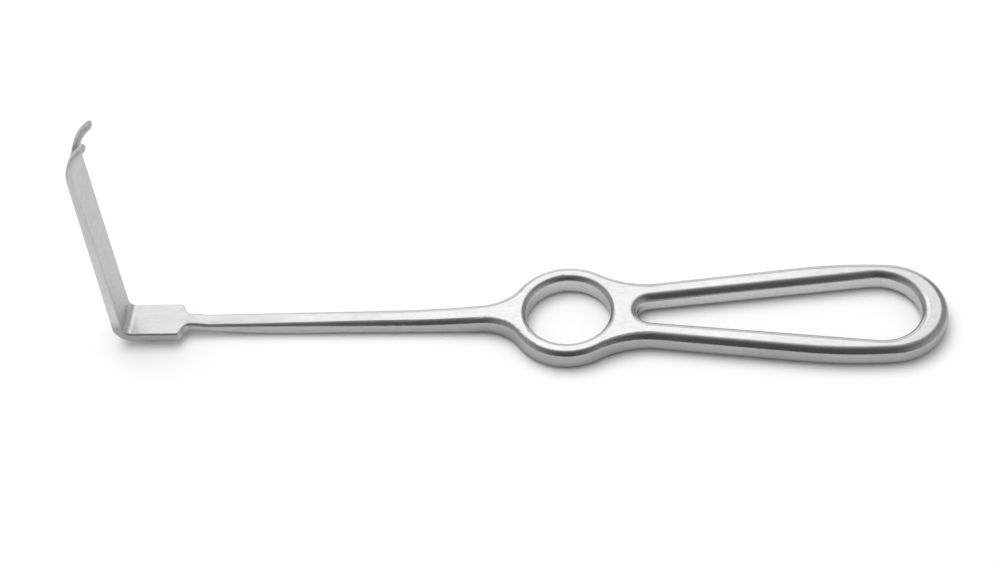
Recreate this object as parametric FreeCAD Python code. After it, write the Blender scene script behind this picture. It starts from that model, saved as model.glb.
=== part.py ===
import FreeCAD, Part
import os
from math import atan, atan2, cos, hypot, pi, radians, sin, sqrt

os.makedirs("parts", exist_ok=True)

# One-piece forged ramus retractor, in millimetres.
# X runs along the handle from the blade to the end of the loop, Y runs across
# it and Z is up, the way the blade stands. The origin is the centre of the
# finger ring, halfway between its two flats. Ring and loop are the same above
# and below that plane. The handle lies on its underside, which is level from
# the loop well along the shaft and then rises to the paddle.

# Finger ring
HANDLE_THICKNESS = 6.2       # finger ring and loop, flat to flat
BORE_RADIUS = 11.1           # straight wall of the finger hole
RING_WIDTH = 4.45            # finger hole to outer wall
RING_ROUND = 1.6             # rounding of the ring's edges, inside and out

# Loop: a teardrop frame round a teardrop hole
LOOP_END_X = 98.8            # outer end of the whole handle
LOOP_END_RADIUS = 15.5
LOOP_ROUND = 2.1             # rounding of the frame's outer edges
LOOP_END_WALL = 6.9          # frame between the hole and the outer end
LOOP_SIDE_WALL = 4.75        # end circle less the hole's end circle
WEB_WIDTH = 2.65             # ring's outer circle to the hole
HOLE_START_RADIUS = 3.85
HOLE_ROUND = 2.1             # rounding of the hole's edges
FLANK_START_X = 24.0         # the flank is straight from here
FLANK_START_WALL = 6.17      # its half width here, past the hole's start circle
FLANK_X = 60.0               # and to here, where it turns into the end circle
FLANK_INSET = 0.8            # end circle's radius less the half width here
WAIST_RADIUS = 24.0          # hollow between ring and loop

# Shaft
SHAFT_END_X = -24.0          # where its width is measured, beside the ring
SHAFT_HALF_WIDTH = 3.1
SHAFT_SIDE_SLOPE = 0.012     # half width gained per millimetre to the ring
NECK_RADIUS = 11.6           # hollow between shaft and ring
SHAFT_TOP = 0.73             # height of its top at the paddle, above the middle plane
SHAFT_TOP_SLOPE = 0.0108     # height gained per millimetre to the ring
SWELL_START_X = -42.0        # the straight taper ends and swells to the ring
SWELL_EASE_IN = 0.5          # shares of the swell that ease it in and out
SWELL_EASE_OUT = 0.3
RISE_START_X = -72.0         # the underside starts to rise to the paddle
RISE_EASE_IN = 0.6           # shares of the rise that ease it in and out
RISE_EASE_OUT = 0.2
SHAFT_ROUND = 1.6            # rounding of the edges where the swell starts
SHAFT_END_ROUND = 0.8        # the same at the paddle

# Strip that is bent up into the blade
STRIP_WIDTH = 11.0
STRIP_ROUND = 0.6            # rounding of its edges
PADDLE_THICKNESS = 2.7
SHOULDER_X = -104.2
SHOULDER_ANGLE = 66.0        # degrees off the X axis
SHOULDER_CORNER = 0.8
SHOULDER_FOOT = 2.6
SHOULDER_RAMP = 4.6          # length over which the shaft thickens to the paddle
RAMP_EASE = 0.45             # share of the ramp that eases each of its ends
JOIN_DEPTH = 3.0             # how far the shaft runs on inside the paddle
JOIN_INSET = 0.25            # how far the strip's end lies inside the shaft
PADDLE_LENGTH = 14.55        # shoulder to the blade's face towards the handle
BLADE_THICKNESS = 2.75       # above the bend
BLADE_TOP_THICKNESS = 2.05   # below the hook
BEND_RADIUS = 2.0            # inside of the bend
BEND_OUTER_RADIUS = 4.8

# Hook and fork
HOOK_START_Z = 58.1
HOOK_RADIUS = 13.0
HOOK_ANGLE = 50.0            # degrees
TIP_THICKNESS = 1.55
TIP_NOSE = 0.45              # how far the rounded tip stands out
TIP_SPARE = 12.0             # degrees of hook that the rounded tip is cut from
PRONG_WIDTH = 2.6
NOTCH_RISE = 3.0             # start of the hook to the rounded notch's lowest point

HANDLE_HALF = HANDLE_THICKNESS / 2
RING_RADIUS = BORE_RADIUS + RING_WIDTH
HOLE_START_X = RING_RADIUS + WEB_WIDTH
HOLE_END_X = LOOP_END_X - LOOP_END_WALL
HOLE_END_RADIUS = LOOP_END_RADIUS - LOOP_SIDE_WALL
FLANK_HALF_WIDTH = LOOP_END_RADIUS - FLANK_INSET
FLANK_ANGLE = atan2(FLANK_HALF_WIDTH - HOLE_START_RADIUS - FLANK_START_WALL,
                    FLANK_X - FLANK_START_X)
SHAFT_START_X = SHOULDER_X - JOIN_DEPTH
BLADE_FACE_X = SHOULDER_X - PADDLE_LENGTH
NOTCH_FLOOR_Z = HOOK_START_Z + NOTCH_RISE


def vec(x, y, z=0.0):
    return FreeCAD.Vector(x, y, z)


def shaft_side(x):
    """Half width of the shaft's straight sides."""
    return SHAFT_HALF_WIDTH + SHAFT_SIDE_SLOPE * (x - SHAFT_END_X)


def shaft_top(x):
    """Height of the shaft's straight top."""
    return SHAFT_TOP + SHAFT_TOP_SLOPE * (x - SHOULDER_X)


def mid_of_arc(centre, start, end):
    """Point halfway along the shorter arc from start to end."""
    a = atan2(start[1] - centre[1], start[0] - centre[0])
    b = atan2(end[1] - centre[1], end[0] - centre[0])
    mid = a + ((b - a + pi) % (2 * pi) - pi) / 2
    radius = hypot(start[0] - centre[0], start[1] - centre[1])
    return centre[0] + radius * cos(mid), centre[1] + radius * sin(mid)


def hollow(point, angle, radius, side):
    """Arc that leaves a straight side and runs into the ring's outer wall.

    The side passes through point at angle. Returns the arc's two ends and its
    middle. side is -1 for the arc on the shaft and 1 for the one on the loop.
    """
    along = (cos(angle), sin(angle))
    across = (-sin(angle), cos(angle))
    base = (point[0] + radius * across[0], point[1] + radius * across[1])
    b = base[0] * along[0] + base[1] * along[1]
    c = base[0] ** 2 + base[1] ** 2 - (RING_RADIUS + radius) ** 2
    step = -b + side * sqrt(b * b - c)
    centre = (base[0] + step * along[0], base[1] + step * along[1])
    on_side = (centre[0] - radius * across[0], centre[1] - radius * across[1])
    share = RING_RADIUS / (RING_RADIUS + radius)
    on_ring = (centre[0] * share, centre[1] * share)
    return on_side, on_ring, mid_of_arc(centre, on_side, on_ring)


def shoulder_arc():
    """Arc from the loop's flank round to its end circle."""
    inward = (sin(FLANK_ANGLE), -cos(FLANK_ANGLE))
    end_x = LOOP_END_X - LOOP_END_RADIUS
    off = (FLANK_X - end_x, FLANK_HALF_WIDTH)
    dot = off[0] * inward[0] + off[1] * inward[1]
    radius = (LOOP_END_RADIUS ** 2 - off[0] ** 2 - off[1] ** 2) / (2 * (dot + LOOP_END_RADIUS))
    centre = (FLANK_X + radius * inward[0], FLANK_HALF_WIDTH + radius * inward[1])
    away = hypot(end_x - centre[0], centre[1])
    end = (end_x + LOOP_END_RADIUS * (end_x - centre[0]) / away,
           -LOOP_END_RADIUS * centre[1] / away)
    return end, mid_of_arc(centre, (FLANK_X, FLANK_HALF_WIDTH), end)


def corner(before, at, after, radius):
    """Start, middle and end of the arc that rounds a corner of an outline."""
    legs = []
    for other in (before, after):
        size = hypot(other[0] - at[0], other[1] - at[1])
        legs.append(((other[0] - at[0]) / size, (other[1] - at[1]) / size))
    (ax, ay), (bx, by) = legs
    turn = ax * bx + ay * by
    half = sqrt((1 - turn) / 2)
    leg = radius * sqrt((1 + turn) / 2) / half
    size = hypot(ax + bx, ay + by)
    reach = (radius / half - radius) / size
    return ((at[0] + ax * leg, at[1] + ay * leg),
            (at[0] + (ax + bx) * reach, at[1] + (ay + by) * reach),
            (at[0] + bx * leg, at[1] + by * leg))


def shoulder():
    """Arcs that round the shoulder's corner and its foot beside the shaft."""
    half = STRIP_WIDTH / 2
    slant = radians(SHOULDER_ANGLE)
    narrow = shaft_side(SHOULDER_X) - JOIN_INSET
    down = (half - narrow) / (sin(slant) + SHAFT_SIDE_SLOPE * cos(slant))
    foot = (SHOULDER_X + down * cos(slant), half - down * sin(slant))
    before = (BLADE_FACE_X, half)
    after = (foot[0] + 1, foot[1] + SHAFT_SIDE_SLOPE)
    return (corner(before, (SHOULDER_X, half), foot, SHOULDER_CORNER),
            corner((SHOULDER_X, half), foot, after, SHOULDER_FOOT))


def ramp():
    """Where the shaft starts and ends to thin beyond the shoulder's foot."""
    start = shoulder()[1][2][0] + JOIN_INSET
    return start, start + SHOULDER_RAMP


def plan_points():
    """Points of one side of the handle in plan, by name."""
    neck = hollow((SHAFT_END_X, SHAFT_HALF_WIDTH), atan(SHAFT_SIDE_SLOPE), NECK_RADIUS, -1)
    waist = hollow((FLANK_X, FLANK_HALF_WIDTH), FLANK_ANGLE, WAIST_RADIUS, 1)
    return (SHAFT_START_X, shaft_side(SHAFT_START_X)), neck, waist


def plan_side(sign):
    """Edges of one side of the handle in plan, from the paddle to the loop."""
    start, neck, waist = plan_points()
    end, shoulder_mid = shoulder_arc()
    flank = (FLANK_X, FLANK_HALF_WIDTH)

    def at(p):
        return vec(p[0], sign * p[1])

    def line(a, b):
        return Part.LineSegment(at(a), at(b)).toShape()

    def arc(a, b, c):
        return Part.Arc(at(a), at(b), at(c)).toShape()

    return [line((start[0], 0.0), start), line(start, neck[0]),
            arc(neck[0], neck[2], neck[1]), arc(neck[1], (0.0, RING_RADIUS), waist[1]),
            arc(waist[1], waist[2], waist[0]), line(waist[0], flank),
            arc(flank, shoulder_mid, end)], end


def handle_plan():
    """Face of the whole handle in plan, without its two holes."""
    left, end = plan_side(1)
    right, _ = plan_side(-1)
    cap = Part.Arc(vec(end[0], end[1]), vec(LOOP_END_X, 0), vec(end[0], -end[1])).toShape()
    return Part.Face(Part.Wire(Part.__sortEdges__(left + [cap] + right)))


def side_profile():
    """Face of the handle seen from the side."""
    far_x = LOOP_END_X + 1.0
    thick = PADDLE_THICKNESS / 2
    ramp_start, ramp_end = ramp()
    ramp_ease = SHOULDER_RAMP * RAMP_EASE
    swell_end = plan_points()[1][1][0]
    swell = swell_end - SWELL_START_X
    rise = RISE_START_X - ramp_start

    def at(x, z):
        return vec(x, 0, z)

    def line(a, b):
        return Part.LineSegment(at(*a), at(*b)).toShape()

    def ease(*poles):
        curve = Part.BezierCurve()
        curve.setPoles([at(*p) for p in poles])
        return curve.toShape()

    edges = [
        line((SHAFT_START_X, -thick), (SHAFT_START_X, thick)),
        line((SHAFT_START_X, thick), (ramp_start, thick)),
        ease((ramp_start, thick), (ramp_start + ramp_ease, thick),
             (ramp_end - ramp_ease, shaft_top(ramp_end - ramp_ease)),
             (ramp_end, shaft_top(ramp_end))),
        line((ramp_end, shaft_top(ramp_end)), (SWELL_START_X, shaft_top(SWELL_START_X))),
        ease((SWELL_START_X, shaft_top(SWELL_START_X)),
             (SWELL_START_X + swell * SWELL_EASE_IN, shaft_top(SWELL_START_X + swell * SWELL_EASE_IN)),
             (swell_end - swell * SWELL_EASE_OUT, HANDLE_HALF), (swell_end, HANDLE_HALF)),
        line((swell_end, HANDLE_HALF), (far_x, HANDLE_HALF)),
        line((far_x, HANDLE_HALF), (far_x, -HANDLE_HALF)),
        line((far_x, -HANDLE_HALF), (RISE_START_X, -HANDLE_HALF)),
        ease((RISE_START_X, -HANDLE_HALF), (RISE_START_X - rise * RISE_EASE_IN, -HANDLE_HALF),
             (ramp_start + rise * RISE_EASE_OUT, -thick), (ramp_start, -thick)),
        line((ramp_start, -thick), (SHAFT_START_X, -thick))]
    return Part.Face(Part.Wire(Part.__sortEdges__(edges)))


def edge_round(x):
    """Rounding of the handle's outer edges, which changes along its length."""
    _, neck, waist = plan_points()
    stations = [(ramp()[1], SHAFT_END_ROUND), (SWELL_START_X, SHAFT_ROUND),
                (neck[1][0], RING_ROUND), (waist[1][0], RING_ROUND),
                (waist[0][0], LOOP_ROUND), (LOOP_END_X, LOOP_ROUND)]
    for (x0, r0), (x1, r1) in zip(stations, stations[1:]):
        if x < x1:
            return r0 + (r1 - r0) * max(0.0, x - x0) / (x1 - x0)
    return LOOP_ROUND


def blank():
    """Handle without its two holes, its outer edges rounded."""
    slab = handle_plan().extrude(vec(0, 0, HANDLE_THICKNESS))
    slab.translate(vec(0, 0, -HANDLE_HALF))
    wide = 2 * (LOOP_END_RADIUS + FLANK_HALF_WIDTH)
    profile = side_profile().extrude(vec(0, wide, 0))
    profile.translate(vec(0, -wide / 2, 0))
    body = slab.common(profile).Solids[0]

    # The edges that follow the outline on top and below each take the rounding
    # that belongs to their two ends, in the direction in which the first edge
    # of their run goes round the handle.
    roundings = []
    for side in (1, -1):
        backwards = None
        for number, edge in enumerate(body.Edges, 1):
            first, middle, last = (edge.valueAt(edge.FirstParameter + share * (
                edge.LastParameter - edge.FirstParameter)) for share in (0, 0.5, 1))
            if edge.BoundBox.XLength > 1e-6 and middle.z * side > 0:
                if backwards is None:
                    backwards = (first.x > last.x) == (middle.y > 0)
                low, high = sorted((first.x, last.x))
                pair = (edge_round(high), edge_round(low))
                roundings.append((number,) + (pair if (middle.y > 0) == backwards else pair[::-1]))
    document = FreeCAD.newDocument("handle")
    base = document.addObject("Part::Feature", "Blank")
    base.Shape = body
    rounded = document.addObject("Part::Fillet", "Rounded")
    rounded.Base = base
    rounded.Edges = roundings
    document.recompute()
    return rounded.Shape.Solids[0]


def loop_hole():
    """Tool for the loop's hole: two end circles and their common tangents."""
    x0 = HOLE_START_X + HOLE_START_RADIUS
    x1 = HOLE_END_X - HOLE_END_RADIUS
    lean = (HOLE_END_RADIUS - HOLE_START_RADIUS) / (x1 - x0)
    rise = sqrt(1 - lean ** 2)

    def touch(x, radius, sign):
        return vec(x - radius * lean, sign * radius * rise)

    wire = Part.Wire([
        Part.LineSegment(touch(x0, HOLE_START_RADIUS, 1), touch(x1, HOLE_END_RADIUS, 1)).toShape(),
        Part.Arc(touch(x1, HOLE_END_RADIUS, 1), vec(HOLE_END_X, 0),
                 touch(x1, HOLE_END_RADIUS, -1)).toShape(),
        Part.LineSegment(touch(x1, HOLE_END_RADIUS, -1),
                         touch(x0, HOLE_START_RADIUS, -1)).toShape(),
        Part.Arc(touch(x0, HOLE_START_RADIUS, -1), vec(HOLE_START_X, 0),
                 touch(x0, HOLE_START_RADIUS, 1)).toShape()])
    hole = Part.Face(wire).extrude(vec(0, 0, HANDLE_THICKNESS))
    hole.translate(vec(0, 0, -HANDLE_HALF))
    return hole


def rims(shape, low_x, high_x, half_width):
    """Edges of a hole in the handle's top and bottom flats."""
    found = []
    for edge in shape.Edges:
        box = edge.BoundBox
        flat = box.ZLength < 1e-6 and abs(abs(box.ZMin) - HANDLE_HALF) < 1e-6
        inside = box.XMin > low_x and box.XMax < high_x and max(-box.YMin, box.YMax) < half_width
        if flat and inside:
            found.append(edge)
    return found


def handle():
    """Handle with ring, loop and shaft."""
    whole = blank()
    bore = Part.makeCylinder(BORE_RADIUS, HANDLE_THICKNESS, vec(0, 0, -HANDLE_HALF))
    whole = whole.cut(bore)
    whole = whole.cut(loop_hole())
    bore_edges = rims(whole, -BORE_RADIUS - 0.1, BORE_RADIUS + 0.1, BORE_RADIUS + 0.1)
    whole = whole.makeFillet(RING_ROUND, bore_edges)
    hole_edges = rims(whole, HOLE_START_X - 0.1, HOLE_END_X + 0.1, HOLE_END_RADIUS + 0.1)
    rounding = min(HOLE_ROUND, 0.9 * (LOOP_SIDE_WALL - LOOP_ROUND))
    return whole.makeFillet(rounding, hole_edges).Solids[0]


def strip_plan():
    """Face of the strip in plan, from behind the blade to the shoulders' feet."""
    half = STRIP_WIDTH / 2
    top, bottom = shoulder()
    back = BLADE_FACE_X - 2 * BLADE_THICKNESS
    edges = []
    for sign in (1, -1):
        points = [vec(x, sign * y) for x, y in
                  [(back, 0), (back, half), *top, *bottom, (bottom[2][0], 0)]]
        edges += [Part.LineSegment(points[0], points[1]).toShape(),
                  Part.LineSegment(points[1], points[2]).toShape(),
                  Part.Arc(*points[2:5]).toShape(),
                  Part.LineSegment(points[4], points[5]).toShape(),
                  Part.Arc(*points[5:8]).toShape(),
                  Part.LineSegment(points[7], points[8]).toShape()]
    return Part.Face(Part.Wire(Part.__sortEdges__(edges)))


def on_hook(turn, depth=0.0):
    """Point of the hook at this turn, so deep behind its inner face."""
    reach = HOOK_RADIUS + depth
    return BLADE_FACE_X + HOOK_RADIUS - reach * cos(turn), HOOK_START_Z + reach * sin(turn)


def hook_depth(turn):
    """Thickness of the hook at this turn, which falls evenly to its tip."""
    return BLADE_TOP_THICKNESS + (TIP_THICKNESS - BLADE_TOP_THICKNESS) * turn / radians(HOOK_ANGLE)


def tip_cutter():
    """Tool that cuts the hook off at its tip, with a rounded nose."""
    angle = radians(HOOK_ANGLE)
    wide = 2 * STRIP_WIDTH
    face = on_hook(angle)
    back = on_hook(angle, hook_depth(angle))
    span = ((face[0] - back[0]) / 2, (face[1] - back[1]) / 2)
    size = hypot(*span)
    across = (span[0] / size, span[1] / size)
    ahead = (-across[1], across[0])

    def at(sideways, forward):
        return vec((face[0] + back[0]) / 2 + sideways * across[0] + forward * ahead[0], -wide / 2,
                   (face[1] + back[1]) / 2 + sideways * across[1] + forward * ahead[1])

    reach = HOOK_RADIUS / 2
    corners = [at(2 * size, -TIP_NOSE), at(reach, -TIP_NOSE), at(reach, reach),
               at(-reach, reach), at(-reach, -TIP_NOSE), at(-2 * size, -TIP_NOSE)]
    edges = [Part.LineSegment(a, b).toShape() for a, b in zip(corners, corners[1:])]
    edges.append(Part.Arc(corners[-1], at(0, TIP_NOSE), corners[0]).toShape())
    return Part.Face(Part.Wire(edges)).extrude(vec(0, wide, 0))


def strip_profile():
    """Side view of the bent strip: paddle, bend, blade and hook."""
    top = PADDLE_THICKNESS / 2
    bottom = -top
    end_x = SHOULDER_X + STRIP_WIDTH
    back_x = BLADE_FACE_X - BLADE_THICKNESS
    angle = radians(HOOK_ANGLE + TIP_SPARE)
    diagonal = 1 - cos(pi / 4)

    def at(p):
        return vec(p[0], 0, p[1])

    def line(a, b):
        return Part.LineSegment(at(a), at(b)).toShape()

    def arc(a, b, c):
        return Part.Arc(at(a), at(b), at(c)).toShape()

    hook_back_x = BLADE_FACE_X - BLADE_TOP_THICKNESS
    tip_face = on_hook(angle)
    tip_back = on_hook(angle, hook_depth(angle))
    edges = [
        line((end_x, bottom), (end_x, top)),
        line((end_x, top), (BLADE_FACE_X + BEND_RADIUS, top)),
        arc((BLADE_FACE_X + BEND_RADIUS, top),
            (BLADE_FACE_X + BEND_RADIUS * diagonal, top + BEND_RADIUS * diagonal),
            (BLADE_FACE_X, top + BEND_RADIUS)),
        line((BLADE_FACE_X, top + BEND_RADIUS), (BLADE_FACE_X, HOOK_START_Z)),
        arc((BLADE_FACE_X, HOOK_START_Z), on_hook(angle / 2), tip_face),
        line(tip_face, tip_back),
        arc(tip_back, on_hook(angle / 2, hook_depth(angle / 2)), (hook_back_x, HOOK_START_Z)),
        line((hook_back_x, HOOK_START_Z), (back_x, bottom + BEND_OUTER_RADIUS)),
        arc((back_x, bottom + BEND_OUTER_RADIUS),
            (back_x + BEND_OUTER_RADIUS * diagonal, bottom + BEND_OUTER_RADIUS * diagonal),
            (back_x + BEND_OUTER_RADIUS, bottom)),
        line((back_x + BEND_OUTER_RADIUS, bottom), (end_x, bottom))]
    return Part.Face(Part.Wire(Part.__sortEdges__(edges)))


def strip():
    """Bent strip with its edges rounded, the fork cut and the tip cut off."""
    half = STRIP_WIDTH / 2
    tall = HOOK_START_Z + 2 * HOOK_RADIUS
    profile = strip_profile().extrude(vec(0, 4 * half, 0))
    profile.translate(vec(0, -2 * half, 0))
    plan = strip_plan()
    plan.translate(vec(0, 0, -PADDLE_THICKNESS))
    body = plan.extrude(vec(0, 0, tall)).common(profile).Solids[0]

    # The edges that run along the blade's two sides are rounded. The rounding
    # runs on by itself along the paddle and round the shoulders.
    long_edges = []
    for edge in body.Edges:
        box = edge.BoundBox
        on_side = min(abs(box.YMin + half), abs(box.YMax - half)) < 1e-6 and box.YLength < 1e-6
        if on_side and box.ZLength > 1e-6 and (box.XLength > 1e-6 or box.ZMax > HOOK_START_Z / 2):
            long_edges.append(edge)
    rounding = min(STRIP_ROUND, 0.45 * hook_depth(radians(HOOK_ANGLE + TIP_SPARE)))
    body = body.makeFillet(rounding, long_edges)

    radius = half - PRONG_WIDTH
    floor = NOTCH_FLOOR_Z + radius
    back = BLADE_FACE_X - BLADE_THICKNESS - 1
    deep = BLADE_THICKNESS + 2 * HOOK_RADIUS
    notch = Part.makeBox(deep, 2 * radius, tall - floor, vec(back, -radius, floor))
    notch = notch.fuse(Part.makeCylinder(radius, deep, vec(back, 0, floor), vec(1, 0, 0)))
    body = body.cut(notch.removeSplitter()).Solids[0]
    notch_edges = []
    for edge in body.Edges:
        box = edge.BoundBox
        if max(-box.YMin, box.YMax) < radius + 1e-6 and box.ZMin > NOTCH_FLOOR_Z - 1e-3:
            if edge.Length > BLADE_THICKNESS:
                notch_edges.append(edge)
    body = body.makeFillet(rounding, notch_edges)
    return body.cut(tip_cutter()).Solids[0]


def retractor():
    return handle().fuse(strip()).removeSplitter().Solids[0]


body = retractor()
print("solid valid", body.isValid(), "volume", round(body.Volume, 1))
body.exportStep("parts/retractor.step")
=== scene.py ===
import math

import bmesh
import bpy
from bpy.props import FloatProperty, FloatVectorProperty, PointerProperty
from bpy.types import Operator, Panel, PropertyGroup
from mathutils import Matrix, Vector


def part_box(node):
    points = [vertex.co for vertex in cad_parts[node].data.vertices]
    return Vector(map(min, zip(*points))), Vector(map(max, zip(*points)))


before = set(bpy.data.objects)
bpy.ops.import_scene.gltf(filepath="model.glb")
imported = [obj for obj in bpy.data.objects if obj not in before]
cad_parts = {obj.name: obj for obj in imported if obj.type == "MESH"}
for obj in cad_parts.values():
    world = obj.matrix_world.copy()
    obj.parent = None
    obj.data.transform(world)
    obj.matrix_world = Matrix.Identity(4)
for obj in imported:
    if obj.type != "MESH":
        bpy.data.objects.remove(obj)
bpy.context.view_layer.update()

bl_info = {
    "name": "Ramus Retractor",
    "version": (1, 0, 0),
    "blender": (4, 5, 0),
    "location": "3D View > Sidebar > Retractor",
    "description": "Steel finish for a one-piece surgical retractor, and a studio to look at it in",
    "category": "Object",
}

NODE = "retractor"
REST_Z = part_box(NODE)[0].z

# Patterns on the steel: stretch along x, y and z, scale, detail and roughness of the noise.
LINES = ((0.035, 1.0, 1.0), 3200.0, 3.0, 0.6)
UPRIGHT_LINES = ((1.0, 1.0, 0.05), 2600.0, 3.0, 0.6)
GRAIN = ((1.0, 1.0, 1.0), 2200.0, 3.0, 0.65)
SMEAR = ((0.5, 1.0, 1.0), 90.0, 3.0, 0.55)
DRIFT = ((1.0, 1.0, 1.0), 35.0, 2.0, 0.5)
MARKS = ((0.6, 1.0, 1.0), 620.0, 3.0, 0.6)
WAVES = ((1.0, 1.0, 1.0), 75.0, 1.0, 0.5)
RIPPLES = ((0.4, 1.0, 1.0), 420.0, 1.0, 0.5)
HAIRLINES = ((0.03, 1.0, 1.0), 5200.0, 2.0, 0.5)

# Widths in metres over which one finish runs into the next, and where the upright blade
# and the walls of the holes begin.
SATIN_BLEND = 0.0012
SIDE_BLEND = 0.0003
SHAFT_BLEND = 0.006
UPRIGHT_Z, UPRIGHT_BLEND = 0.004, 0.003
WALL_MARGIN, WALL_BLEND = 0.0005, 0.0008

# Shares of the patterns in the height, the roughness and the tone of the steel.
SATIN_GRAIN, SATIN_LINES, POLISHED_LINES = 0.6, 0.4, 0.45
GRAIN_ROUGH, LINES_ROUGH, HAIRLINE_ROUGH = 0.10, 0.04, 0.10
GRAIN_TONE, LINES_TONE, HAIRLINE_TONE = 0.22, 0.16, 0.07
HAIRLINE_FROM, HAIRLINE_RISE = 0.60, 0.06
BRUSHED_TINT = 0.6

# Painted reflection on the glowing dome that the steel mirrors: directions whose cosine with the
# window's middle is over PANE_AHEAD can lie in the window, and the low opening fades over
# these shares at its top and its sides.
PANE_AHEAD = 0.2
LOW_FADE, LOW_SIDE_FADE = 0.06, 0.15
DOME_SEGMENTS, DOME_RINGS = 96, 48
FLAP_LIFT = 0.0005

# Camera: the sensor in millimetres, the nearest and the farthest point seen in metres.
SENSOR_WIDTH = 36.0
CLIP_START, CLIP_END = 0.01, 50.0


class SteelFinish(PropertyGroup):
    """Colour and polish of the steel."""

    colour: FloatVectorProperty(
        name="Steel", description="Colour of the bare steel",
        subtype="COLOR", size=3, min=0, max=1, default=(0.565, 0.565, 0.565))
    satin_colour: FloatVectorProperty(
        name="Satin colour", description="Colour of the satin paddle, blade and hook",
        subtype="COLOR", size=3, min=0, max=1, default=(0.80, 0.80, 0.80))
    polish: FloatProperty(
        name="Handle roughness", description="Roughness of the polished handle and shaft",
        min=0, max=1, default=0.19)
    shaft_polish: FloatProperty(
        name="Shaft roughness", description="Roughness of the brushed shaft beside the paddle",
        min=0, max=1, default=0.40)
    satin: FloatProperty(
        name="Blade roughness", description="Roughness of the satin paddle, blade and hook",
        min=0, max=1, default=0.44)
    smear: FloatProperty(
        name="Smear", description="How much the roughness drifts from place to place",
        min=0, max=0.5, default=0.07)
    # Painted light and shade on the strip's sides: the blade's sides are made brighter and the
    # paddle's sides darker.
    blade_side_painted_light: FloatProperty(
        name="Blade sides", description="How much brighter the blade's ground sides are",
        default=0.13)
    paddle_side_painted_shade: FloatProperty(
        name="Paddle sides", description="How much brighter the paddle's sides are",
        default=-0.28)
    # Painted light: the walls of both holes get a brighter colour.
    painted_hole_wall_light: FloatProperty(
        name="Hole walls", description="How much brighter the walls of both holes are",
        default=0.45)
    # Painted shade: the handle gets darker towards the table, except on the hole walls.
    painted_foot_height: FloatProperty(
        name="Foot height", description="How far the darker foot of the outer walls reaches up",
        unit="LENGTH", min=0.0001, default=0.0030)
    painted_foot_shade: FloatProperty(
        name="Foot shade", description="How much darker the outer walls are at the table",
        min=0, max=1, default=0.40)
    bore: FloatProperty(
        name="Bore", description="Radius of the finger ring's hole",
        unit="LENGTH", default=0.0111)
    loop_ends: FloatVectorProperty(
        name="Loop ends", description="X of the middles of the loop hole's two round ends",
        unit="LENGTH", size=2, default=(0.02205, 0.08115))
    loop_radii: FloatVectorProperty(
        name="Loop radii", description="Radii of the loop hole's two round ends",
        unit="LENGTH", size=2, default=(0.00385, 0.01075))
    strip_half: FloatProperty(
        name="Strip half width",
        description="Half the width of the strip without its rounded edge",
        unit="LENGTH", default=0.0051)
    mottle: FloatProperty(
        name="Mottle", description="How much the colour drifts from place to place",
        min=0, max=0.5, default=0.10)
    grain_depth: FloatProperty(
        name="Grain depth", description="Depth of the polishing lines and the satin grain",
        unit="LENGTH", min=0, default=0.000006)
    ripple: FloatProperty(
        name="Ripple", description="Depth of the short ripples from the polishing belt",
        unit="LENGTH", min=0, default=0.000009)
    wave: FloatProperty(
        name="Wave", description="Depth of the slow waves that hand polishing leaves",
        unit="LENGTH", min=0, default=0.00006)
    crown: FloatProperty(
        name="Crown",
        description="How much the shaft's top is crowned, in metres over metres squared",
        min=0, default=24.0)
    crown_middle: FloatProperty(
        name="Crown middle", description="Y of the crown's highest line",
        unit="LENGTH", default=0.0004)
    crown_end: FloatProperty(
        name="Crown end", description="X where the crowned shaft runs into the flat ring",
        unit="LENGTH", default=-0.026)
    satin_edge: FloatProperty(
        name="Satin edge", description="X where the satin paddle meets the polished shaft",
        unit="LENGTH", default=-0.1028)


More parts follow.
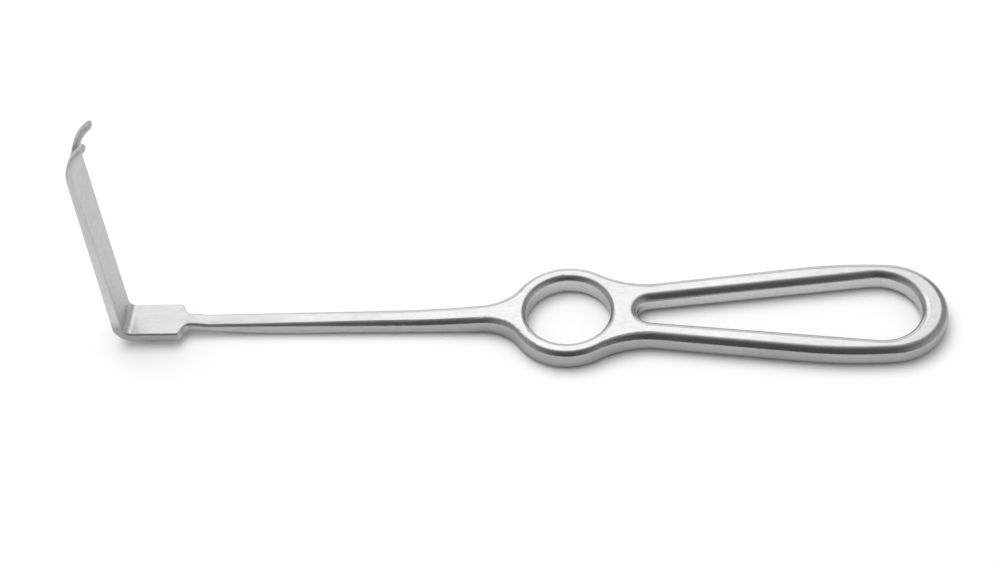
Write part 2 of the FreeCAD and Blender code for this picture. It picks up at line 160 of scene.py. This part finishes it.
class StudioSetup(PropertyGroup):
    """Table, lamp, glowing dome of painted reflection and camera."""

    table: FloatVectorProperty(
        name="Table", description="Colour of the table top",
        subtype="COLOR", size=3, min=0, max=1, default=(0.97, 0.97, 0.97))
    # Painted shade: a darker copy of the table's colour, seen by every ray but the camera's, so the
    # steel mirrors a shaded table.
    table_painted_shade: FloatVectorProperty(
        name="Table in the steel", description="Colour of the table top as the steel mirrors it",
        subtype="COLOR", size=3, min=0, max=1, default=(0.64, 0.64, 0.64))
    table_size: FloatProperty(
        name="Table size", description="Length of the table's side",
        unit="LENGTH", min=0.5, default=6.0)
    fill: FloatProperty(
        name="Fill", description="Strength of the room's light on the table",
        min=0, default=0.62)
    key_power: FloatProperty(
        name="Key power", description="Power of the lamp overhead, which casts the shadow",
        subtype="POWER", min=0, default=15.4)
    key_size: FloatProperty(
        name="Key size", description="Side of the lamp overhead",
        unit="LENGTH", min=0.1, default=1.2)
    key_place: FloatVectorProperty(
        name="Key place", description="Where the lamp overhead hangs",
        subtype="XYZ", unit="LENGTH", size=3, default=(-0.32, 0.40, 1.52))
    # From here to cloth_front: the glowing dome of painted reflection, seen only in the steel, with
    # its window, cloth, glow and low opening painted on it.
    surround_radius: FloatProperty(
        name="Surroundings", description="Radius of the dome that the steel mirrors",
        unit="LENGTH", min=0.6, default=1.8)
    window_level: FloatProperty(
        name="Window level", description="How bright the window is in the steel",
        min=0, default=1.66)
    window_height: FloatProperty(
        name="Window angle",
        description="How high the window's middle stands behind the retractor",
        subtype="ANGLE", default=math.radians(50))
    window_turn: FloatProperty(
        name="Window turn", description="How far round to the left the window stands",
        subtype="ANGLE", default=math.radians(8.5))
    window_size: FloatVectorProperty(
        name="Window size",
        description="Half the window's width and height, for one metre away",
        size=2, default=(0.50, 0.385))
    window_fade: FloatVectorProperty(
        name="Window fade",
        description="How wide its sides and its upper and lower edge fade out",
        size=2, default=(0.30, 0.32))
    cloth_level: FloatProperty(
        name="Cloth level", description="How bright the dark cloth is",
        min=0, default=0.075)
    side_level: FloatProperty(
        name="Side level", description="How much brighter the cloth gets towards both sides",
        min=0, default=0.42)
    painted_glow: FloatProperty(
        name="Glow", description="Light on the cloth beside the window",
        min=0, default=0.60)
    glow_reach: FloatProperty(
        name="Glow reach", description="How far the glow reaches from the window",
        min=0.01, default=0.15)
    low_level: FloatProperty(
        name="Low level", description="How bright the room is under the cloth's edge, behind",
        min=0, default=0.9)
    low_width: FloatProperty(
        name="Low width", description="Half the low opening's width, for one metre away",
        min=0.05, default=0.55)
    low_edge: FloatProperty(
        name="Low edge", description="How high the cloth's lower edge hangs behind the retractor",
        subtype="ANGLE", default=math.radians(24))
    cloth_front: FloatProperty(
        name="Cloth front",
        description="Y of the edge of the cloth on the table before the camera",
        unit="LENGTH", default=-0.085)
    lens: FloatProperty(
        name="Lens", description="Focal length on a sensor 36 mm wide",
        subtype="DISTANCE_CAMERA", min=1, default=69.48)
    eye: FloatVectorProperty(
        name="Camera", description="Where the camera stands",
        subtype="XYZ", unit="LENGTH", size=3, default=(0.0242, -0.3368, 0.3835))
    target: FloatVectorProperty(
        name="Target", description="Point in the middle of the picture",
        subtype="XYZ", unit="LENGTH", size=3, default=(-0.01844, 0.01054, 0.0031))
    roll: FloatProperty(
        name="Roll", description="How far the camera leans to the side",
        subtype="ANGLE", default=math.radians(-5.99))


class Value:
    """A shader socket that carries a number and takes part in sums."""

    def __init__(self, graph, socket):
        self.graph, self.socket = graph, socket

    def _math(self, operation, *terms, clamp=False):
        inputs = dict(enumerate(terms))
        return self.graph.node("ShaderNodeMath", {"operation": operation, "use_clamp": clamp},
                               inputs).out()

    def __add__(self, other):
        return self._math("ADD", self, other)

    def __radd__(self, other):
        return self._math("ADD", other, self)

    def __sub__(self, other):
        return self._math("SUBTRACT", self, other)

    def __rsub__(self, other):
        return self._math("SUBTRACT", other, self)

    def __mul__(self, other):
        return self._math("MULTIPLY", self, other)

    def __rmul__(self, other):
        return self._math("MULTIPLY", other, self)

    def __truediv__(self, other):
        return self._math("DIVIDE", self, other)

    def __rtruediv__(self, other):
        return self._math("DIVIDE", other, self)

    def size(self):
        return self._math("ABSOLUTE", self)

    def over(self, limit):
        return self._math("GREATER_THAN", self, limit)

    def clamped(self):
        return self._math("ADD", self, 0.0, clamp=True)


class Node:
    """A shader node whose outputs are read by name or number."""

    def __init__(self, graph, node):
        self.graph, self.node = graph, node

    def out(self, name=0):
        return Value(self.graph, self.node.outputs[name])


class Graph:
    """Node tree of a material or of the world."""

    def __init__(self, owner):
        owner.use_nodes = True
        self.tree = owner.node_tree
        self.tree.nodes.clear()

    def node(self, kind, settings=None, inputs=None):
        """Adds a node, with its settings first and then its sockets."""
        node = self.tree.nodes.new(kind)
        for name, value in (settings or {}).items():
            setattr(node, name, value)
        for name, value in (inputs or {}).items():
            if isinstance(value, Value):
                self.tree.links.new(value.socket, node.inputs[name])
            else:
                node.inputs[name].default_value = value
        return Node(self, node)

    def noise(self, place, pattern):
        """Noise on a place in the piece's own coordinates, stretched as the pattern says."""
        stretch, scale, detail, roughness = pattern
        stretched = self.node("ShaderNodeVectorMath", {"operation": "MULTIPLY"},
                              {0: place, 1: stretch}).out()
        return self.node("ShaderNodeTexNoise", None,
                         {"Vector": stretched, "Scale": scale, "Detail": detail,
                          "Roughness": roughness}).out("Fac")


def hole_wall_mask(finish, x, y):
    """1 on the walls of the finger hole and the loop hole, 0 elsewhere: where light is painted on.
    """
    def within(reach, past):
        return ((reach * reach - past * past - y * y) / (reach * WALL_BLEND)).clamped()

    start, end = finish.loop_ends
    narrow, wide = finish.loop_radii
    along = ((x - start) / (end - start)).clamped()
    loop = within(along * (wide - narrow) + (narrow + WALL_MARGIN),
                  x - start - along * (end - start))
    return (loop + within(finish.bore + WALL_MARGIN, x)).clamped()


def steel_material(finish):
    """Polished steel on the handle and satin steel on the strip."""
    material = bpy.data.materials.new("steel_finish")
    graph = Graph(material)
    place = graph.node("ShaderNodeTexCoord").out("Object")
    split = graph.node("ShaderNodeSeparateXYZ", None, {0: place})
    x, y, z = split.out("X"), split.out("Y"), split.out("Z")

    # Where each finish lies.
    strip = ((finish.satin_edge - x) / SATIN_BLEND + 0.5).clamped()
    upright = ((z - UPRIGHT_Z) / UPRIGHT_BLEND).clamped()
    # Sides of the strip, where light and shade are painted on.
    side = strip * ((y.size() - finish.strip_half) / SIDE_BLEND).clamped()
    shaft = (1.0 - strip) * ((finish.crown_end - x) / SHAFT_BLEND + 0.5).clamped()
    shaft_length = finish.crown_end - finish.satin_edge
    brushed = shaft * ((finish.crown_end - x) / shaft_length).clamped()
    # Walls of both holes, where light is painted on.
    painted_light_walls = hole_wall_mask(finish, x, y)
    # Painted shade: darker towards the table on the handle, but not on the hole walls or the strip
    # and shaft.
    painted_foot = ((REST_Z + finish.painted_foot_height - z) / finish.painted_foot_height).clamped()
    painted_foot = painted_foot * (1.0 - strip - shaft) * (1.0 - painted_light_walls)

    # Marks of the grinding and polishing.
    lines = graph.noise(place, LINES)
    grain = graph.noise(place, GRAIN)
    smear = graph.noise(place, SMEAR) - 0.5
    drift = graph.noise(place, DRIFT) - 0.5
    marks = graph.noise(place, MARKS) - 0.5
    hairline = ((graph.noise(place, HAIRLINES) - HAIRLINE_FROM) / HAIRLINE_RISE).clamped()
    hairline = (1.0 - strip) * hairline
    blade_lines = upright * graph.noise(place, UPRIGHT_LINES) + (1.0 - upright) * lines

    satin = grain * SATIN_GRAIN + blade_lines * SATIN_LINES
    from_crown = y - finish.crown_middle
    height = ((strip * satin + (1.0 - strip) * (lines * POLISHED_LINES)) * finish.grain_depth
              + graph.noise(place, WAVES) * finish.wave
              + graph.noise(place, RIPPLES) * finish.ripple
              - shaft * from_crown * from_crown * finish.crown)
    roughness = (finish.polish + brushed * (finish.shaft_polish - finish.polish)
                 + strip * (finish.satin - finish.polish)
                 + smear * finish.smear * 2.0 + (lines - 0.5) * LINES_ROUGH
                 + strip * (grain - 0.5) * GRAIN_ROUGH + hairline * HAIRLINE_ROUGH)
    # Painted light and shade on the strip's sides: brighter on the blade, darker on the paddle.
    painted_side_light_and_shade = upright * (finish.blade_side_painted_light - finish.paddle_side_painted_shade) + finish.paddle_side_painted_shade
    shade = (1.0 + (drift + marks) * finish.mottle * 2.0 - hairline * HAIRLINE_TONE
             + strip * ((grain - 0.5) * GRAIN_TONE + (blade_lines - 0.5) * LINES_TONE)
             # Painted light on the hole walls, and painted shade at the foot of the outer walls.
             + side * painted_side_light_and_shade + painted_light_walls * finish.painted_hole_wall_light - painted_foot * finish.painted_foot_shade)

    tint = graph.node("ShaderNodeMix", {"data_type": "RGBA"},
                      {"Factor": (strip + brushed * BRUSHED_TINT).clamped(),
                       6: (*finish.colour, 1.0), 7: (*finish.satin_colour, 1.0)}).out(2)
    base = graph.node("ShaderNodeVectorMath", {"operation": "SCALE"},
                      {0: tint, "Scale": shade}).out()
    bump = graph.node("ShaderNodeBump", None,
                      {"Strength": 1.0, "Distance": 1.0, "Height": height}).out()
    shader = graph.node("ShaderNodeBsdfPrincipled", None,
                        {"Base Color": base, "Metallic": 1.0, "Roughness": roughness,
                         "Normal": bump})
    graph.node("ShaderNodeOutputMaterial", None, {"Surface": shader.out("BSDF")})
    return material


def table_material(colour, mirrored_shade):
    """Plain matt table top. Every ray but the camera's sees it darker: a painted shade that the
    steel mirrors.
    """
    material = bpy.data.materials.new("table_top")
    graph = Graph(material)
    seen = graph.node("ShaderNodeLightPath").out("Is Camera Ray")
    tint = graph.node("ShaderNodeMix", {"data_type": "RGBA"},
                      {"Factor": seen, 6: (*mirrored_shade, 1.0), 7: (*colour, 1.0)}).out(2)
    shader = graph.node("ShaderNodeBsdfPrincipled", None,
                        {"Base Color": tint, "Roughness": 1.0, "Specular IOR Level": 0.0})
    graph.node("ShaderNodeOutputMaterial", None, {"Surface": shader.out("BSDF")})
    return material


def painted_reflection_material(studio):
    """Painted reflection for the polished steel: a glowing dome with a bright window, dark cloth
    and the low room behind painted on it.
    """
    material = bpy.data.materials.new("surroundings")
    graph = Graph(material)
    place = graph.node("ShaderNodeTexCoord").out("Object")
    way = graph.node("ShaderNodeVectorMath", {"operation": "NORMALIZE"}, {0: place}).out()

    def along(axis):
        return graph.node("ShaderNodeVectorMath", {"operation": "DOT_PRODUCT"},
                          {0: way, 1: tuple(axis)}).out("Value")

    height, turn = studio.window_height, studio.window_turn
    middle = Vector((-math.sin(turn) * math.cos(height), math.cos(turn) * math.cos(height),
                     math.sin(height)))
    right = Vector((math.cos(turn), math.sin(turn), 0))
    ahead = along(middle)
    pane = ahead.over(PANE_AHEAD)
    for axis, size, fade in zip((right, right.cross(middle)), studio.window_size,
                                studio.window_fade):
        aside = along(axis) / ahead
        pane = pane * ((size - aside) / fade).clamped() * ((size + aside) / fade).clamped()

    off = (1.0 - ahead) / studio.glow_reach
    painted_glow = studio.painted_glow / (1.0 + off * off)
    low = (along((0, math.tan(studio.low_edge), -1)) / LOW_FADE + 0.5).clamped()
    for side in (-1, 1):
        low = low * (along((side, studio.low_width, 0)) / LOW_SIDE_FADE).clamped()
    sideways = along((1, 0, 0))
    cloth = studio.cloth_level + sideways * sideways * studio.side_level
    level = cloth + painted_glow * (1.0 - pane) + pane * studio.window_level + low * studio.low_level
    shade = graph.node("ShaderNodeVectorMath", {"operation": "SCALE"},
                       {0: (1.0, 1.0, 1.0), "Scale": level}).out()
    shader = graph.node("ShaderNodeBsdfPrincipled", None,
                        {"Base Color": (0.0, 0.0, 0.0, 1.0), "Roughness": 1.0,
                         "Specular IOR Level": 0.0, "Emission Color": shade,
                         "Emission Strength": 1.0})
    graph.node("ShaderNodeOutputMaterial", None, {"Surface": shader.out("BSDF")})
    return material


def new_object(name, mesh_maker, material):
    """Object with the mesh that mesh_maker shapes in a bmesh."""
    mesh = bpy.data.meshes.new(name)
    shape = bmesh.new()
    mesh_maker(shape)
    shape.to_mesh(mesh)
    shape.free()
    mesh.materials.append(material)
    piece = bpy.data.objects.new(name, mesh)
    bpy.context.scene.collection.objects.link(piece)
    return piece


class RETRACTOR_OT_steel(Operator):
    """Give the retractor its polished handle and its satin blade"""

    bl_idname = "retractor.steel"
    bl_label = "Finish the steel"

    def execute(self, context):
        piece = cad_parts[NODE]
        material = steel_material(context.scene.retractor_steel)
        piece.data.materials.clear()
        piece.data.materials.append(material)
        return {"FINISHED"}


class RETRACTOR_OT_studio(Operator):
    """Lay the table and set the glowing dome of painted reflection, the lamp and the camera"""

    bl_idname = "retractor.studio"
    bl_label = "Set up the studio"

    def execute(self, context):
        studio = context.scene.retractor_studio
        scene = context.scene
        self.lay_table(studio)
        self.raise_painted_reflection(studio)
        self.light_room(scene, studio)
        self.place_key(scene, studio)
        self.place_camera(scene, studio)
        scene.view_settings.view_transform = "Standard"
        return {"FINISHED"}

    def lay_table(self, studio):
        def shape(mesh):
            bmesh.ops.create_grid(mesh, x_segments=1, y_segments=1, size=studio.table_size / 2,
                                  matrix=Matrix.Translation((0, 0, REST_Z)))
        material = table_material(studio.table, studio.table_painted_shade)
        new_object("table", shape, material)

    def raise_painted_reflection(self, studio):
        """Glowing dome that only shows as a painted reflection, with a flap of its dark cloth on
        the table.
        """
        radius = studio.surround_radius

        def shape(mesh):
            bmesh.ops.create_uvsphere(mesh, u_segments=DOME_SEGMENTS,
                                      v_segments=DOME_RINGS, radius=radius)
            every = [*mesh.verts, *mesh.edges, *mesh.faces]
            bmesh.ops.bisect_plane(mesh, geom=every, plane_co=(0, 0, REST_Z),
                                   plane_no=(0, 0, -1), clear_outer=True)
            flap = (radius + studio.cloth_front) / 2
            middle = (0, studio.cloth_front - flap, REST_Z + FLAP_LIFT)
            bmesh.ops.create_grid(
                mesh, x_segments=1, y_segments=1, size=1,
                matrix=Matrix.Translation(middle) @ Matrix.Diagonal((radius, flap, 1, 1)))
        cloth = new_object("surroundings", shape, painted_reflection_material(studio))
        cloth.visible_camera = False
        cloth.visible_diffuse = False
        cloth.visible_shadow = False
        cloth.visible_transmission = False

    def light_room(self, scene, studio):
        world = bpy.data.worlds.new("studio_room")
        scene.world = world
        graph = Graph(world)
        path = graph.node("ShaderNodeLightPath")
        seen = (path.out("Is Camera Ray") + path.out("Is Glossy Ray")
                + path.out("Is Transmission Ray")).clamped()
        strength = seen * (1.0 - studio.fill) + studio.fill
        light = graph.node("ShaderNodeBackground", None,
                           {"Color": (1.0, 1.0, 1.0, 1.0), "Strength": strength})
        graph.node("ShaderNodeOutputWorld", None, {"Surface": light.out()})

    def place_key(self, scene, studio):
        """Soft lamp overhead that casts the shadow. The steel doesn't mirror it."""
        lamp = bpy.data.lights.new("key", "AREA")
        lamp.size = studio.key_size
        lamp.energy = studio.key_power
        place = Vector(studio.key_place)
        key = bpy.data.objects.new("key", lamp)
        turn = place.to_track_quat("Z", "Y").to_matrix().to_4x4()
        key.matrix_world = Matrix.Translation(place) @ turn
        key.visible_glossy = False
        scene.collection.objects.link(key)

    def place_camera(self, scene, studio):
        lens = bpy.data.cameras.new("camera")
        lens.sensor_fit = "HORIZONTAL"
        lens.sensor_width = SENSOR_WIDTH
        lens.lens = studio.lens
        lens.clip_start = CLIP_START
        lens.clip_end = CLIP_END
        camera = bpy.data.objects.new("camera", lens)
        eye = Vector(studio.eye)
        ahead = (Vector(studio.target) - eye).normalized()
        level = ahead.cross(Vector((0, 0, 1))).normalized()
        upright = level.cross(ahead)
        lean = studio.roll
        right = level * math.cos(lean) + upright * math.sin(lean)
        up = upright * math.cos(lean) - level * math.sin(lean)
        turn = Matrix((right, up, -ahead)).transposed()
        camera.matrix_world = Matrix.Translation(eye) @ turn.to_4x4()
        scene.collection.objects.link(camera)
        scene.camera = camera


class RETRACTOR_PT_panel(Panel):
    """Sizes, colours and steps of the retractor's scene"""

    bl_idname = "RETRACTOR_PT_panel"
    bl_label = "Retractor"
    bl_space_type = "VIEW_3D"
    bl_region_type = "UI"
    bl_category = "Retractor"

    def draw(self, context):
        layout = self.layout
        for group, step in ((context.scene.retractor_steel, RETRACTOR_OT_steel),
                            (context.scene.retractor_studio, RETRACTOR_OT_studio)):
            box = layout.box()
            for name in group.bl_rna.properties.keys():
                if name not in {"rna_type", "name"}:
                    box.prop(group, name)
            box.operator(step.bl_idname)


CLASSES = (SteelFinish, StudioSetup, RETRACTOR_OT_steel, RETRACTOR_OT_studio,
           RETRACTOR_PT_panel)


def register():
    for item in CLASSES:
        bpy.utils.register_class(item)
    bpy.types.Scene.retractor_steel = PointerProperty(type=SteelFinish)
    bpy.types.Scene.retractor_studio = PointerProperty(type=StudioSetup)


def unregister():
    del bpy.types.Scene.retractor_studio
    del bpy.types.Scene.retractor_steel
    for item in reversed(CLASSES):
        bpy.utils.unregister_class(item)


def main():
    register()
    bpy.ops.retractor.steel()
    bpy.ops.retractor.studio()


if __name__ == "__main__":
    main()
